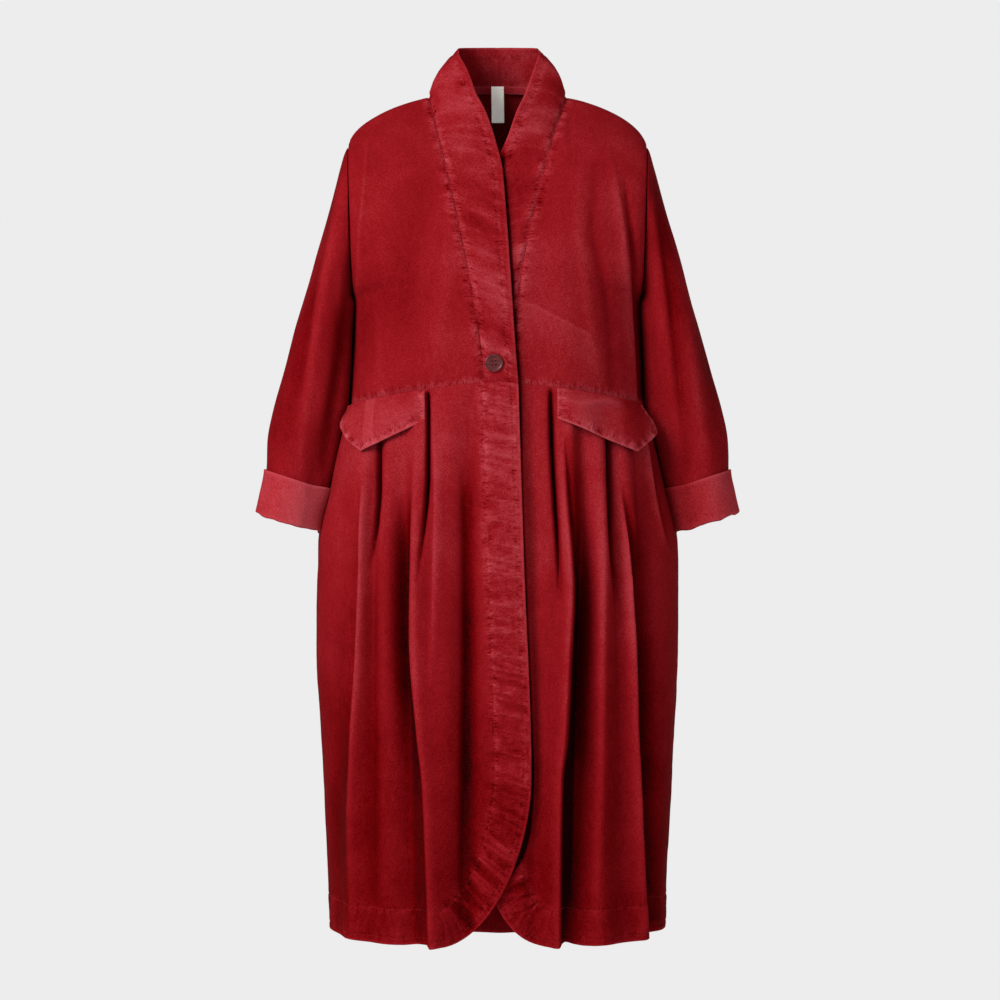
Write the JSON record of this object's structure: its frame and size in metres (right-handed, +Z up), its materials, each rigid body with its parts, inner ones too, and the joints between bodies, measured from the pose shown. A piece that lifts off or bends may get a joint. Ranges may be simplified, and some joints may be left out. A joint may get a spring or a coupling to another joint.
{
  "type": "overcoat",
  "caption": "Long fitted velvet coat with a narrow stand collar and front band, waist seam, pleated skirt, pointed pocket flaps, turned-up cuffs and a button at the waist, shown worn.",
  "frame": {"origin": "on the centre line at the height of the high shoulder points, where the wearer's shoulders hold the coat, halfway between front and back of the neck", "axes": "+Z up along the coat, -Y the way the wearer faces, +X the wearer's left"},
  "size_m": [0.654, 0.3604, 1.2233],
  "materials": {
    "red velvet": "crushed cotton velvet, deep red",
    "velvet wrong side": "short nap, paler red",
    "dark red button": "satin polished",
    "cream ribbon": "woven satin ribbon"
  },
  "bodies": {
    "root": {"bodice_back": "red velvet", "bodice_front_left": "red velvet", "bodice_front_right": "red velvet", "button": "dark red button", "collar_band_left": "red velvet", "collar_band_right": "red velvet", "cuff_left": "velvet wrong side", "cuff_right": "velvet wrong side", "label": "cream ribbon", "neck_tape": "red velvet", "pocket_flap_left": "red velvet", "pocket_flap_right": "red velvet", "skirt_back": "red velvet", "skirt_front_left": "red velvet", "skirt_front_right": "red velvet", "sleeve_left": "red velvet", "sleeve_right": "red velvet"}
  },
  "joints": []
}
